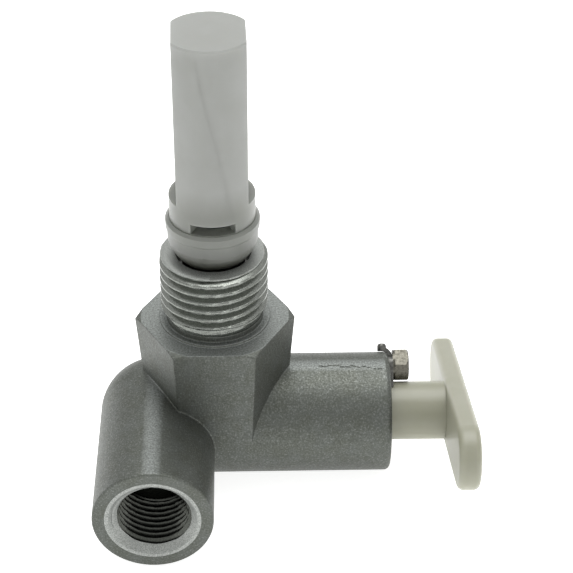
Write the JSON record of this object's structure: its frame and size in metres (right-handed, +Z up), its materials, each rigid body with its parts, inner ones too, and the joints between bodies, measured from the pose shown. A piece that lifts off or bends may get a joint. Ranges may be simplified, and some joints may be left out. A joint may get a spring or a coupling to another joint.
{
  "type": "fuel shut-off valve",
  "caption": "Right-angle fuel shut-off valve: cast body with a threaded inlet and strainer on top, a female outlet at the front and a quarter-turn T-handle.",
  "frame": {"origin": "centre of the spanner hexagon's top face, on the inlet's axis", "axes": "+Z up along the inlet, -Y out of the outlet, +X along the barrel towards the handle"},
  "size_m": [0.0476, 0.0389, 0.0637],
  "materials": {
    "casting": "dull as-cast grain",
    "strainer": "translucent, satin",
    "screen": "fine woven mesh",
    "handle": "off-white moulded, satin",
    "ring": "black rubber",
    "plate": "dull plated steel",
    "screw": "bright plated steel"
  },
  "bodies": {
    "valve": {"valve_body": "casting", "strainer": "strainer", "strainer_screen_left": "screen", "strainer_screen_right": "screen", "retaining_plate": "plate", "retaining_screw": "screw"},
    "handle": {"handle": "handle", "plug_ring_inner": "ring", "plug_ring_outer": "ring"}
  },
  "joints": [
    {"name": "handle_turn", "type": "hinge", "parent": "valve", "child": "handle", "pos_m": [0.02235, 0, -0.0158], "axis": [1, 0, 0], "range_deg": [-74, 16]}
  ]
}
